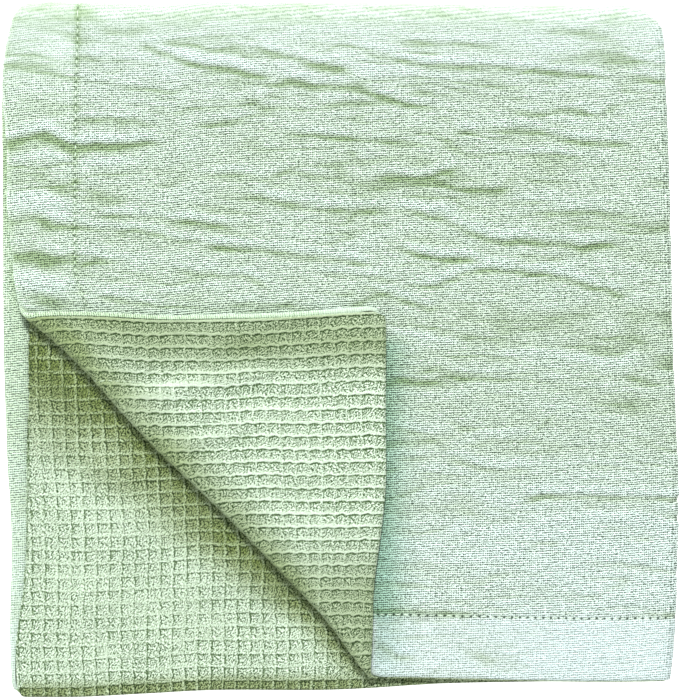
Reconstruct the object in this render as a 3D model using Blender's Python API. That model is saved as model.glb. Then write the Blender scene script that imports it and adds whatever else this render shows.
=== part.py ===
"""A two-faced baby blanket, folded in four, with the corner of its top ply turned back.

One face is crinkled muslin and the other is waffle weave. Each panel is modelled as it is sewn,
flat, in cloth coordinates: s runs across, t runs up the cloth, and o points out of the muslin face.
The flat cloth is cut into facets where it will bend, and then every point is folded as the real
blanket is: the muslin's edge is turned over the waffle panel, the corner is turned back, one half
goes under the other at the right, and the pair goes under itself at the top.
In the finished part +Z is up, +Y runs towards the top fold, and the underside rests on Z = 0.
"""

import math

import bmesh
import bpy
from mathutils import Vector

# The cloth, in metres.
MUSLIN = 0.0012  # thickness of the muslin panel
WAFFLE = 0.0024  # thickness of the waffle-weave panel
SEAM_GAP = 0.0004  # air between the two panels
PLY = MUSLIN + SEAM_GAP + WAFFLE
HALF_PLY = PLY / 2
AIR = 0.0012  # air between one ply and the next, at the folds
CORNER = 0.0085  # radius of the blanket's corners

# The folded blanket, seen from above.
ACROSS = 0.367  # right fold to left free edges
DOWN = 0.377  # top fold to bottom free edges
SIDE_RADIUS = (PLY + AIR) / 2  # right fold, at the middle of the ply
TOP_RADIUS = PLY + AIR  # top fold, at the middle of the pair of plies
PAIR = SIDE_RADIUS + HALF_PLY  # half the thickness of a pair
STACK = 2 * (TOP_RADIUS + PAIR)  # thickness of the four plies at the folds
SETTLED = 0.9  # share of that thickness left where the plies lie flat
RUMPLE = 0.012  # share by which the upper plies rise and dip

# The corner that is turned back.
TURNED_LEG = 0.2024  # cloth edge from the corner to the crest of the turn
TURN_RADIUS = 0.0032  # at the middle of the ply
TURN_REST = 0.0007  # air under the turned corner once it lies down
TURN_SETTLES = 0.028  # distance from the crest at which it lies down
CREST_DRIFT = -0.007  # how far its lower end leans to the left

# Half the flat blanket, from its two fold lines to its edges.
HALF_WIDTH = ACROSS - PAIR + math.pi / 2 * SIDE_RADIUS
HALF_LENGTH = DOWN - STACK / 2 + math.pi / 2 * TOP_RADIUS
RIM_WIDTH = HALF_WIDTH - HALF_PLY  # to where the muslin starts to turn over
RIM_LENGTH = HALF_LENGTH - HALF_PLY
RIM_CORNER = CORNER - HALF_PLY

# Outline of the folded stack. Columns: share of the way down from the top fold, x in metres.
RIGHT_FOLD = (
    (0.0, 0.1615), (0.0075, 0.1664), (0.019, 0.1713), (0.03, 0.1757), (0.048, 0.1776),
    (0.14, 0.1794), (0.29, 0.1813), (0.45, 0.1826), (0.6, 0.1845), (0.71, 0.186),
    (0.84, 0.1851), (0.93, 0.184), (1.0, 0.1814),
)
LEFT_EDGE = (
    (0.0, -0.1729), (0.0075, -0.1762), (0.018, -0.1787), (0.04, -0.1812), (0.065, -0.1833),
    (0.13, -0.1857), (0.32, -0.1852), (0.5, -0.1848), (0.65, -0.1829), (0.8, -0.1803),
    (0.89, -0.1814), (1.0, -0.1803),
)
# How far the top ply's left edge lies inside that. Columns: share of the way down, inset.
TOP_PLY_INSET = (
    (0.0, 0.0), (0.13, 0.0003), (0.2, 0.0026), (0.3, 0.0029), (0.37, 0.005),
    (0.44, 0.0078), (0.52, 0.009), (1.0, 0.009),
)
# Columns: share of the way from the right fold to the left edge, y in metres.
TOP_FOLD = (
    (0.0, 0.1899), (0.13, 0.1893), (0.3, 0.19), (0.57, 0.1911), (0.68, 0.1914),
    (0.78, 0.1897), (0.9, 0.191), (0.95, 0.1913), (1.0, 0.1902),
)
TOP_PLY_BOTTOM = ((0.0, -0.1822), (0.1, -0.1828), (0.28, -0.1818), (0.4, -0.1806), (1.0, -0.1804))
SECOND_PLY_BOTTOM = (
    (0.0, -0.1822), (0.28, -0.1832), (0.38, -0.1843), (0.46, -0.1862), (0.52, -0.1871),
    (0.7, -0.1873), (0.8, -0.1892), (0.92, -0.1911), (1.0, -0.191),
)
UNDER_PLY_INSET = 0.003  # how far the two hidden plies stay inside the outline

# Muslin turned over on to the waffle face, beyond the rolled edge.
# Columns: distance from the blanket's corner, width.
TURNED_STRIP = 0.0005  # along the bottom edges
TOP_PLY_STRIP = ((0.0, 0.002), (0.06, 0.001), (0.2, 0.0008), (0.4, 0.003))
SECOND_PLY_STRIP = (
    (0.0, 0.0005), (0.014, 0.0006), (0.027, 0.0016), (0.045, 0.0043), (0.072, 0.006),
    (0.128, 0.009), (0.185, 0.0126), (0.25, 0.012), (0.4, 0.009),
)

# Where the flat cloth is cut into facets.
SIDE_FOLD_FACETS = 6
TOP_FOLD_FACETS = 8
TURN_FACETS = 8
ROLL_FACETS = 4
SIDE_CUTS = (0.06, 0.12, 0.2, 0.31, 0.43, 0.55, 0.67, 0.79, 0.9)  # shares of HALF_WIDTH
TOP_CUTS = (0.035, 0.052, 0.08, 0.13, 0.2, 0.3, 0.41, 0.52, 0.63, 0.74, 0.84, 0.93)
TURN_CUTS = (0.009, 0.014, 0.021, 0.033)  # distances from the crest

MUSLIN_COLOUR = (0.56, 0.74, 0.60, 1.0)
WAFFLE_COLOUR = (0.45, 0.63, 0.42, 1.0)


def eased(value, start, end):
    """0 before start, 1 after end, and a smooth rise between them."""
    share = min(max((value - start) / (end - start), 0.0), 1.0)
    return share * share * (3 - 2 * share)


def along(table, place):
    """Value of a two-column table at a place, on a smooth curve through its rows."""
    if place <= table[0][0]:
        return table[0][1]
    if place >= table[-1][0]:
        return table[-1][1]
    row = next(i for i in range(len(table) - 1) if place < table[i + 1][0])
    (start, low), (end, high) = table[row], table[row + 1]
    slope = (high - low) / (end - start)
    before = (low - table[row - 1][1]) / (start - table[row - 1][0]) if row else slope
    after = slope
    if row + 2 < len(table):
        after = (table[row + 2][1] - high) / (table[row + 2][0] - end)
    leaving = (before + slope) / 2 if before * slope > 0 else 0.0
    arriving = (slope + after) / 2 if slope * after > 0 else 0.0
    span = end - start
    u = (place - start) / span
    return (
        low * (1 + 2 * u) * (1 - u) ** 2 + high * u * u * (3 - 2 * u)
        + span * u * (1 - u) * (leaving * (1 - u) - arriving * u)
    )


def strip_width(s, t):
    """Width of muslin turned on to the waffle face, at a place on the flat blanket's edge."""
    if abs(s) < RIM_WIDTH - RIM_CORNER:
        return TURNED_STRIP
    table = TOP_PLY_STRIP if s < 0 else SECOND_PLY_STRIP
    from_corner = RIM_LENGTH - abs(t)
    blend = eased(from_corner, RIM_CORNER, 2.5 * RIM_CORNER)
    return TURNED_STRIP + (along(table, from_corner) - TURNED_STRIP) * blend


def beyond_rim(s, t):
    """Distance outside the rim of the flat blanket, and the way out of it."""
    over_s = abs(s) - (RIM_WIDTH - RIM_CORNER)
    over_t = abs(t) - (RIM_LENGTH - RIM_CORNER)
    if over_s > 0 and over_t > 0:
        reach = math.hypot(over_s, over_t)
        way = Vector((math.copysign(over_s, s), math.copysign(over_t, t))) / reach
    elif over_s > over_t:
        reach = over_s
        way = Vector((math.copysign(1.0, s), 0.0))
    else:
        reach = over_t
        way = Vector((0.0, math.copysign(1.0, t)))
    return reach - RIM_CORNER, way


def turn_edge(s, t, o):
    """Roll what lies beyond the rim over to the waffle face."""
    beyond, way = beyond_rim(s, t)
    if beyond <= 0:
        return s, t, o
    base = Vector((s, t)) - way * beyond
    arc = math.pi * HALF_PLY
    if beyond < arc:
        angle = beyond / HALF_PLY
        place = base + way * o * math.sin(angle)
        return place.x, place.y, o * math.cos(angle)
    place = base - way * (beyond - arc)
    return place.x, place.y, -o


def turn_back_corner(s, t, o):
    """Bend the top ply's corner up and over the diagonal, on to the muslin."""
    if s > 0 or t > 0:
        return s, t, o
    from_edge = HALF_WIDTH + s
    from_bottom = HALF_LENGTH + t
    out = (TURNED_LEG - from_edge - from_bottom) / math.sqrt(2)
    quarter = math.pi / 2 * TURN_RADIUS
    if out < -quarter:
        return s, t, o
    if out < quarter:
        angle = out / TURN_RADIUS + math.pi / 2
        reach = (TURN_RADIUS - o) * math.sin(angle) - quarter
        height = TURN_RADIUS - (TURN_RADIUS - o) * math.cos(angle)
    else:
        reach = -out
        height = 2 * TURN_RADIUS - o
    spare = 2 * TURN_RADIUS - PLY - TURN_REST
    height -= spare * eased(-reach, quarter, TURN_SETTLES)
    total = TURNED_LEG - math.sqrt(2) * reach
    skew = from_edge - from_bottom
    return (total + skew) / 2 - HALF_WIDTH, (total - skew) / 2 - HALF_LENGTH, height


def half_turn(arc, offset, radius):
    """Section of a fold: arc along the cloth and offset on its outside, to reach and height."""
    quarter = math.pi / 2 * radius
    swing = radius + offset
    if abs(arc) <= quarter:
        angle = arc / radius
        return swing * math.cos(angle), -swing * math.sin(angle)
    return quarter - abs(arc), -math.copysign(swing, arc)


def upper_share(arc, radius):
    """1 on the upper side of a fold, 0 on the lower side, and smooth round the bend."""
    angle = min(max(arc / radius, -math.pi / 2), math.pi / 2)
    return 0.5 - 0.5 * math.sin(angle)


def fold(s, t, o):
    """Where a point of the flat, sewn blanket goes when it is folded in four."""
    x, pair_height = half_turn(s, o, SIDE_RADIUS)
    y, height = half_turn(t, pair_height, TOP_RADIUS)
    leftward = (PAIR - x) / ACROSS
    downward = (STACK / 2 - y) / DOWN
    upper = upper_share(s, SIDE_RADIUS)
    front = upper_share(t, TOP_RADIUS)
    top_ply = upper * front

    under = UNDER_PLY_INSET * (1 - front)
    left = along(LEFT_EDGE, downward) + along(TOP_PLY_INSET, downward) * top_ply
    left += under * downward
    right = along(RIGHT_FOLD, downward)
    bottom = along(TOP_PLY_BOTTOM, leftward) * upper
    bottom += along(SECOND_PLY_BOTTOM, leftward) * (1 - upper) + under
    top = along(TOP_FOLD, leftward)
    lean = math.exp(-(((leftward - 0.43) / 0.11) ** 2)) * eased(downward, 0.68, 0.9)
    settled = eased(leftward, 0.0, 0.13) * eased(downward, 0.0, 0.13)
    wave = math.sin(7.1 * leftward + 3.3 * downward) * math.sin(5.7 * downward + 0.9)
    return Vector((
        right + (left - right) * leftward + CREST_DRIFT * lean * top_ply,
        top + (bottom - top) * downward,
        (STACK / 2 + height) * (1 - settled * (1 - SETTLED + RUMPLE * wave)),
    ))


def cut_along(bm, point, normal):
    """Cut the whole flat cloth on one line."""
    bmesh.ops.bisect_plane(
        bm, geom=bm.verts[:] + bm.edges[:] + bm.faces[:], dist=1e-6, plane_co=point, plane_no=normal
    )


def bend_lines(radius, facets):
    """Arc lengths, either side of the middle of a bend, at which its facets meet."""
    quarter = math.pi / 2 * radius
    return [quarter * (2 * step / facets - 1) for step in range(facets + 1)]


def split_quads(bm):
    """Make triangles, with every quad split on the same diagonal on both faces of the cloth."""
    for face in [f for f in bm.faces if len(f.verts) == 4]:
        ends = sorted(face.verts, key=lambda v: (round(v.co.x + v.co.y, 6), v.co.z))
        if not any(ends[0] in edge.verts and ends[3] in edge.verts for edge in face.edges):
            bmesh.utils.face_split(face, ends[0], ends[3])
    bmesh.ops.triangulate(bm, faces=[f for f in bm.faces if len(f.verts) > 3])


def flat_slab(low, high, inset):
    """The blanket's flat shape between two heights, its edge inset from the rim, cut on its folds.

    The inset is a function of a place on the edge, so that a seam can wander.
    """
    bm = bmesh.new()
    bmesh.ops.create_cube(bm, size=1.0)
    margin = inset(0.0, RIM_LENGTH)
    size = (2 * (RIM_WIDTH - margin), 2 * (RIM_LENGTH - margin), high - low)
    bmesh.ops.scale(bm, vec=size, verts=bm.verts)
    bmesh.ops.translate(bm, vec=(0, 0, (low + high) / 2), verts=bm.verts)
    upright = [e for e in bm.edges if abs(e.verts[0].co.z - e.verts[1].co.z) > (high - low) / 2]
    bmesh.ops.bevel(
        bm, geom=upright, offset=RIM_CORNER - margin, segments=3, profile=0.5, affect="EDGES", material=-1
    )
    across = Vector((0, 1, 0))
    top_lines = bend_lines(TOP_RADIUS, TOP_FOLD_FACETS)
    top_lines += [sign * share * HALF_LENGTH for share in TOP_CUTS for sign in (-1, 1)]
    for line in top_lines:
        cut_along(bm, Vector((0, line, 0)), across)
    for vert in bm.verts:
        if abs(vert.co.x) > RIM_WIDTH - margin - 1e-6:
            vert.co.x = math.copysign(RIM_WIDTH - inset(vert.co.x, vert.co.y), vert.co.x)
    side_lines = bend_lines(SIDE_RADIUS, SIDE_FOLD_FACETS)
    side_lines += [sign * share * HALF_WIDTH for share in SIDE_CUTS for sign in (-1, 1)]
    for line in side_lines:
        cut_along(bm, Vector((line, 0, 0)), Vector((1, 0, 0)))
    turn_lines = bend_lines(TURN_RADIUS, TURN_FACETS) + [-cut for cut in TURN_CUTS] + list(TURN_CUTS)
    for line in turn_lines:
        along_edge = TURNED_LEG - math.sqrt(2) * line
        cut_along(bm, Vector((along_edge - HALF_WIDTH, -HALF_LENGTH, 0)), Vector((1, 1, 0)).normalized())
    return bm


def add_turnings(bm):
    """Grow the muslin's rim by what will roll over the edge, plus the strip that lies beyond."""
    rim = [face for face in bm.faces if abs(face.normal.z) < 0.5]
    roll = math.pi * HALF_PLY / ROLL_FACETS
    for step in range(ROLL_FACETS + 1):
        grown = bmesh.ops.extrude_face_region(bm, geom=rim)["geom"]
        for vert in [item for item in grown if isinstance(item, bmesh.types.BMVert)]:
            beyond, way = beyond_rim(vert.co.x, vert.co.y)
            base = vert.co.xy - way * beyond
            grow = roll if step < ROLL_FACETS else strip_width(base.x, base.y)
            vert.co.xy += way * grow
        bmesh.ops.delete(bm, geom=rim, context="FACES")
        rim = [item for item in grown if isinstance(item, bmesh.types.BMFace)]


def finish_panel(bm, name, colour, roughness):
    """Fold a flat panel, and make it an object with its own material."""
    bm.normal_update()
    split_quads(bm)
    for vert in bm.verts:
        vert.co = fold(*turn_back_corner(*turn_edge(*vert.co)))
    mesh = bpy.data.meshes.new(name)
    bm.to_mesh(mesh)
    bm.free()
    mesh.shade_smooth()
    mesh.set_sharp_from_angle(angle=math.radians(50))
    material = bpy.data.materials.new(name)
    material.use_nodes = True
    shader = material.node_tree.nodes["Principled BSDF"]
    shader.inputs["Base Color"].default_value = colour
    shader.inputs["Roughness"].default_value = roughness
    shader.inputs["Metallic"].default_value = 0.0
    mesh.materials.append(material)
    panel = bpy.data.objects.new(name, mesh)
    bpy.context.scene.collection.objects.link(panel)
    return panel


def muslin_panel():
    """The outside face, whose edge rolls over the waffle panel's."""
    bm = flat_slab(HALF_PLY - MUSLIN, HALF_PLY, lambda s, t: 0.0)
    add_turnings(bm)
    return finish_panel(bm, "muslin_panel", MUSLIN_COLOUR, 0.85)


def waffle_panel():
    """The inside face, which ends a small gap short of the turned muslin."""
    bm = flat_slab(-HALF_PLY, WAFFLE - HALF_PLY, lambda s, t: strip_width(s, t) + SEAM_GAP)
    return finish_panel(bm, "waffle_panel", WAFFLE_COLOUR, 0.9)


def centre_on_origin(panels):
    """Bring the middle of the blanket's underside to the origin."""
    places = [vert.co for panel in panels for vert in panel.data.vertices]
    low = Vector(min(place[axis] for place in places) for axis in range(3))
    high = Vector(max(place[axis] for place in places) for axis in range(3))
    shift = Vector(((low.x + high.x) / 2, (low.y + high.y) / 2, low.z))
    for panel in panels:
        for vert in panel.data.vertices:
            vert.co -= shift


def main():
    for old in list(bpy.data.objects):
        bpy.data.objects.remove(old)
    centre_on_origin([muslin_panel(), waffle_panel()])


main()
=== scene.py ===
# %% [markdown]
# # A two-faced baby blanket, folded in four
# The blanket is sewn from two cotton panels: crinkled muslin outside and waffle weave inside.
# It could be modelled as a folded stack of plies, with a separate sheet for each ply, but the plies
# would never quite meet at the folds. So each panel is made flat, as it is sewn, and every point of
# it is then folded by one function. A thread, a stitch or a crease can be placed on the flat cloth,
# and it follows the cloth round every fold.

import functools
import math

import bmesh
import bpy
import numpy as np
from mathutils import Matrix, Vector


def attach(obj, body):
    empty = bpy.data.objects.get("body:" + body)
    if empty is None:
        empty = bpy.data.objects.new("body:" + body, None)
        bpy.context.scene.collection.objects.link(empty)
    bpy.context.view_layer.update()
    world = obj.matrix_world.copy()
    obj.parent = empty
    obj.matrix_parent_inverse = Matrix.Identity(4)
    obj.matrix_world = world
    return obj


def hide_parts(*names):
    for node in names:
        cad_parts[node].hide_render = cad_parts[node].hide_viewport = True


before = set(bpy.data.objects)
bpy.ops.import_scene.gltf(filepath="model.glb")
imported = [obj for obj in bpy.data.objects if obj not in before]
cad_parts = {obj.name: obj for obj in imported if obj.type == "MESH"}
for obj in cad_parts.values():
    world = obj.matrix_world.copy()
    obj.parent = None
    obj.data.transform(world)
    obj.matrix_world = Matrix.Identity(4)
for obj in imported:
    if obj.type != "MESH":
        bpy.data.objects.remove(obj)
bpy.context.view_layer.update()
MM = 0.001

# %% [markdown]
# ## The cloth
# A place on the flat blanket has three coordinates. s runs across, t runs up the cloth, and o points
# out of the muslin face, from the middle of the cloth's thickness. The fold lines are s = 0 and
# t = 0. The sizes are the ones that the solids have, in metres.

# %% Sizes of the cloth and of the folded stack
MUSLIN = 0.0012  # thickness of the muslin panel
WAFFLE = 0.0024  # thickness of the waffle-weave panel
SEAM_GAP = 0.0004  # air between the two panels
PLY = MUSLIN + SEAM_GAP + WAFFLE
HALF_PLY = PLY / 2
AIR = 0.0012  # air between one ply and the next, at the folds
CORNER = 0.0085  # radius of the blanket's corners
ACROSS = 0.367  # right fold to left free edges
DOWN = 0.377  # top fold to bottom free edges
SIDE_RADIUS = (PLY + AIR) / 2
TOP_RADIUS = PLY + AIR
PAIR = SIDE_RADIUS + HALF_PLY  # half the thickness of a pair of plies
STACK = 2 * (TOP_RADIUS + PAIR)
SETTLED = 0.9  # share of that thickness left where the plies lie flat
RUMPLE = 0.012  # size of the slow waves in that share
TURNED_LEG = 0.2024  # cloth edge from the corner to the crest of the turn
TURN_RADIUS = 0.0032  # radius of the bend at that crest, at the middle of the ply
TURN_REST = 0.0007  # air under the turned corner where it lies flat
TURN_SETTLES = 0.028  # distance from the crest at which it does
# Tugs on the turned corner: place on the folded blanket, reach, and how far right and up.
TUGS = (
    ((-0.1454, -0.0042), (0.042, 0.042), (0.0027, 0.0025)),
    ((-0.0079, -0.148), (0.026, 0.026), (0.0012, 0.0011)),
)
TIP_PULL = (0.0032, 0.0048)  # one more tug, at the tip of the turned corner
TIP_REACH = (0.045, 0.06)
CREST_DRIFT = -0.007  # how far the top ply drifts sideways, low down and near its middle
UNDER_PLY_INSET = 0.003  # how far the two hidden plies stay inside the outline
CENTRE = (-0.00011, -0.00018)  # middle of the folded cloth before it is brought to the origin

HALF_WIDTH = ACROSS - PAIR + math.pi / 2 * SIDE_RADIUS
HALF_LENGTH = DOWN - STACK / 2 + math.pi / 2 * TOP_RADIUS
RIM_WIDTH = HALF_WIDTH - HALF_PLY  # to where the muslin starts to turn over
RIM_LENGTH = HALF_LENGTH - HALF_PLY
RIM_CORNER = CORNER - HALF_PLY
print(f"flat blanket {2 * HALF_WIDTH:.3f} x {2 * HALF_LENGTH:.3f} m, folded stack {STACK / MM:.1f} mm")

# %% Outline of the stack: share of the way down from the top fold, and x in metres
RIGHT_FOLD = (
    (0.0, 0.1615), (0.0075, 0.1664), (0.019, 0.1713), (0.03, 0.1757), (0.048, 0.1776),
    (0.14, 0.1794), (0.29, 0.1813), (0.45, 0.1826), (0.6, 0.1845), (0.71, 0.186),
    (0.84, 0.1851), (0.93, 0.184), (1.0, 0.1814),
)
LEFT_EDGE = (
    (0.0, -0.1729), (0.0075, -0.1762), (0.018, -0.1787), (0.04, -0.1812), (0.065, -0.1833),
    (0.13, -0.1857), (0.32, -0.1852), (0.5, -0.1848), (0.65, -0.1829), (0.8, -0.1803),
    (0.89, -0.1814), (1.0, -0.1803),
)
TOP_PLY_INSET = (
    (0.0, 0.0), (0.13, 0.0003), (0.2, 0.0026), (0.3, 0.0029), (0.37, 0.005),
    (0.44, 0.0078), (0.52, 0.009), (1.0, 0.009),
)
# Where the top ply's left edge would be, above the turned corner, if its hem were equally wide.
EVEN_HEM = ((0.0, -0.1805), (0.13, -0.1824), (0.45, -0.184), (1.0, -0.184))
HEM_FROM = 0.88  # share of the way across to the hem, which takes up the edge's unevenness
# Share of the way from the right fold to the left edge, and y in metres.
TOP_FOLD = (
    (0.0, 0.1899), (0.13, 0.1893), (0.3, 0.19), (0.57, 0.1911), (0.68, 0.1914),
    (0.78, 0.1897), (0.9, 0.191), (0.95, 0.1913), (1.0, 0.1902),
)
TOP_PLY_BOTTOM = ((0.0, -0.1822), (0.1, -0.1828), (0.28, -0.1818), (0.4, -0.1806), (1.0, -0.1804))
SECOND_PLY_BOTTOM = (
    (0.0, -0.1822), (0.28, -0.1832), (0.38, -0.1843), (0.46, -0.1862), (0.52, -0.1871),
    (0.7, -0.1873), (0.8, -0.1892), (0.92, -0.1911), (1.0, -0.191),
)
# Width of the muslin that is turned over the waffle face: distance from the corner, and width.
TURNED_STRIP = 0.0005  # along the bottom edges
TOP_PLY_STRIP = ((0.0, 0.002), (0.06, 0.001), (0.2, 0.0008), (0.4, 0.003))
SECOND_PLY_STRIP = (
    (0.0, 0.0005), (0.014, 0.0006), (0.027, 0.0016), (0.045, 0.0043), (0.072, 0.006),
    (0.128, 0.009), (0.185, 0.0126), (0.25, 0.012), (0.4, 0.009),
)

# %% [markdown]
# ## Folding
# Cloth bends but hardly stretches, so a fold is a half turn of a cylinder with flat cloth on either
# side of it. Each function below takes whole arrays of points, because a panel has about a hundred
# thousand of them. They are applied in the order of the real folding: the muslin's edge is turned
# over, the top corner is turned back, and the cloth is folded to the side and then at the top.


# %% Smooth curves
def eased(value, start, end):
    """0 before start, 1 after end, and a smooth rise between them."""
    share = np.clip((value - start) / (end - start), 0.0, 1.0)
    return share * share * (3 - 2 * share)


def hump(distance, reach):
    """1 at a distance of 0, and smoothly less on either side of it, over a reach."""
    return np.exp(-((distance / reach) ** 2))


def along(table, place):
    """Values of a two-column table at an array of places, on a smooth curve through its rows."""
    spots, values = np.array(table, float).T
    steps = np.diff(spots)
    slopes = np.diff(values) / steps
    tangents = np.concatenate((slopes[:1], (slopes[:-1] + slopes[1:]) / 2, slopes[-1:]))
    tangents[1:-1] *= slopes[:-1] * slopes[1:] > 0
    row = np.clip(np.searchsorted(spots, place, side="right") - 1, 0, len(steps) - 1)
    u = np.clip((place - spots[row]) / steps[row], 0.0, 1.0)
    return (
        values[row] * (1 + 2 * u) * (1 - u) ** 2 + values[row + 1] * u * u * (3 - 2 * u)
        + steps[row] * u * (1 - u) * (tangents[row] * (1 - u) - tangents[row + 1] * u)
    )


# %% The edge, where the muslin rolls over to the waffle face
def beyond_rim(s, t):
    """Distance outside the rim of the flat blanket, and the way out of it."""
    over_s = np.abs(s) - (RIM_WIDTH - RIM_CORNER)
    over_t = np.abs(t) - (RIM_LENGTH - RIM_CORNER)
    corner = (over_s > 0) & (over_t > 0)
    reach = np.where(corner, np.hypot(over_s, over_t), np.maximum(over_s, over_t))
    safe = np.where(corner, reach, 1.0)
    way_s = np.where(corner, over_s / safe, over_s > over_t) * np.sign(s)
    way_t = np.where(corner, over_t / safe, over_s <= over_t) * np.sign(t)
    return reach - RIM_CORNER, way_s, way_t


def at_hem(s, t):
    """True nearer to the top or bottom hem of the flat blanket than to its sides."""
    return np.abs(t) - RIM_LENGTH > np.abs(s) - RIM_WIDTH


def strip_width(s, t):
    """Width of muslin turned on to the waffle face, at the nearest place of the edge."""
    from_corner = RIM_LENGTH - np.abs(t)
    width = np.where(s < 0, along(TOP_PLY_STRIP, from_corner), along(SECOND_PLY_STRIP, from_corner))
    blend = eased(from_corner, RIM_CORNER, 2.5 * RIM_CORNER)
    blend = blend * (RIM_WIDTH - np.abs(s) < from_corner)
    return TURNED_STRIP + (width - TURNED_STRIP) * blend


def turn_edge(s, t, o):
    """Roll what lies beyond the rim over to the waffle face."""
    beyond, way_s, way_t = beyond_rim(s, t)
    beyond = np.maximum(beyond, 0.0)
    arc = math.pi * HALF_PLY
    angle = np.minimum(beyond, arc) / HALF_PLY
    move = o * np.sin(angle) - np.maximum(beyond - arc, 0.0) - beyond
    return s + way_s * move, t + way_t * move, o * np.cos(angle)


# %% The corner of the top ply, turned back over the diagonal
def turn_back_corner(s, t, o):
    """Bend the top ply's corner up and over, on to the muslin."""
    from_edge = HALF_WIDTH + s
    from_bottom = HALF_LENGTH + t
    out = (TURNED_LEG - from_edge - from_bottom) / math.sqrt(2)
    quarter = math.pi / 2 * TURN_RADIUS
    angle = np.clip(out, -quarter, quarter) / TURN_RADIUS + math.pi / 2
    bent_reach = (TURN_RADIUS - o) * np.sin(angle) - quarter
    bent_height = TURN_RADIUS - (TURN_RADIUS - o) * np.cos(angle)
    bent = out < quarter
    reach = np.where(bent, bent_reach, -out)
    height = np.where(bent, bent_height, 2 * TURN_RADIUS - o)
    spare = 2 * TURN_RADIUS - PLY - TURN_REST
    height = height - spare * eased(-reach, quarter, TURN_SETTLES)
    total = TURNED_LEG - math.sqrt(2) * reach
    skew = from_edge - from_bottom
    turned = (s < 0) & (t < 0) & (out > -quarter)
    return (
        np.where(turned, (total + skew) / 2 - HALF_WIDTH, s),
        np.where(turned, (total - skew) / 2 - HALF_LENGTH, t),
        np.where(turned, height, o),
    )


# %% The fold at the right and the fold at the top
def half_turn(arc, offset, radius):
    """Section of a fold: arc along the cloth and offset on its outside, to reach and height."""
    quarter = math.pi / 2 * radius
    swing = radius + offset
    angle = np.clip(arc / radius, -math.pi / 2, math.pi / 2)
    reach = swing * np.cos(angle) - np.maximum(np.abs(arc) - quarter, 0.0)
    return reach, -swing * np.sin(angle)


def upper_share(arc, radius):
    """1 on the upper side of a fold, 0 on the lower side, and smooth round the bend."""
    return 0.5 - 0.5 * np.sin(np.clip(arc / radius, -math.pi / 2, math.pi / 2))


def fold(s, t, o):
    """Where points of the flat, sewn blanket go when it is folded in four."""
    x, pair_height = half_turn(s, o, SIDE_RADIUS)
    y, height = half_turn(t, pair_height, TOP_RADIUS)
    leftward = (PAIR - x) / ACROSS
    downward = (STACK / 2 - y) / DOWN
    upper = upper_share(s, SIDE_RADIUS)
    front = upper_share(t, TOP_RADIUS)
    top_ply = upper * front

    under = UNDER_PLY_INSET * (1 - front)
    left = along(LEFT_EDGE, downward) + along(TOP_PLY_INSET, downward) * top_ply + under * downward
    right = along(RIGHT_FOLD, downward)
    # The hem takes up the left edge's unevenness, so that the line of stitches runs straight.
    uneven = (left - along(EVEN_HEM, downward)) * top_ply * (1 - eased(downward, 0.39, 0.455))
    straighten = uneven * (eased(leftward, HEM_FROM, 1.0) - leftward)
    bottom = along(TOP_PLY_BOTTOM, leftward) * upper
    bottom = bottom + along(SECOND_PLY_BOTTOM, leftward) * (1 - upper) + under
    top = along(TOP_FOLD, leftward)
    lean = hump(leftward - 0.43, 0.11) * eased(downward, 0.68, 0.9)
    settled = eased(leftward, 0.0, 0.13) * eased(downward, 0.0, 0.13)
    wave = np.sin(7.1 * leftward + 3.3 * downward) * np.sin(5.7 * downward + 0.9)
    return (
        right + (left - right) * leftward + straighten + CREST_DRIFT * lean * top_ply - CENTRE[0],
        top + (bottom - top) * downward - CENTRE[1],
        (STACK / 2 + height) * (1 - settled * (1 - SETTLED + RUMPLE * wave)),
    )


def tug(x, y, place, reach, pull, share):
    """Tug the cloth around one place of the folded blanket."""
    pull_share = share * np.exp(-(((x - place[0]) / reach[0]) ** 2) - ((y - place[1]) / reach[1]) ** 2)
    return x + pull[0] * pull_share, y + pull[1] * pull_share


def turned_share(s, t):
    """Distance past the crest of the turned corner, on the flat top ply."""
    return (TURNED_LEG - (HALF_WIDTH + s) - (HALF_LENGTH + t)) / math.sqrt(2)


def turned_over(s, t):
    """1 where the flat top ply is turned over, and 0 elsewhere."""
    return eased(turned_share(s, t), -0.002, 0.0) * (s < 0)


def folded(s, t, o):
    """All the folds, in the order in which they are made, and the tugs that make them uneven."""
    s, t, o = turn_edge(s, t, o)
    front_corner = (s < 0) & (t < 0)
    at_tip = eased(turned_share(s, t), 0.0, 0.06) * front_corner
    at_crest = eased(turned_share(s, t), -0.012, 0.0) * front_corner
    x, y, z = fold(*turn_back_corner(s, t, o))
    x, y = tug(x, y, folded_tip, TIP_REACH, TIP_PULL, at_tip)
    for place, reach, pull in TUGS:
        x, y = tug(x, y, place, reach, pull, at_crest)
    return x, y, z


tip = np.array([[-HALF_WIDTH], [-HALF_LENGTH], [0.0]])
folded_tip = [float(value[0]) for value in fold(*turn_back_corner(*tip))[:2]]
check = folded(np.array([-RIM_WIDTH / 2]), np.array([-RIM_LENGTH / 4]), np.array([HALF_PLY]))
print("middle of the top ply:", [round(float(value[0]), 4) for value in check])
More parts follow.
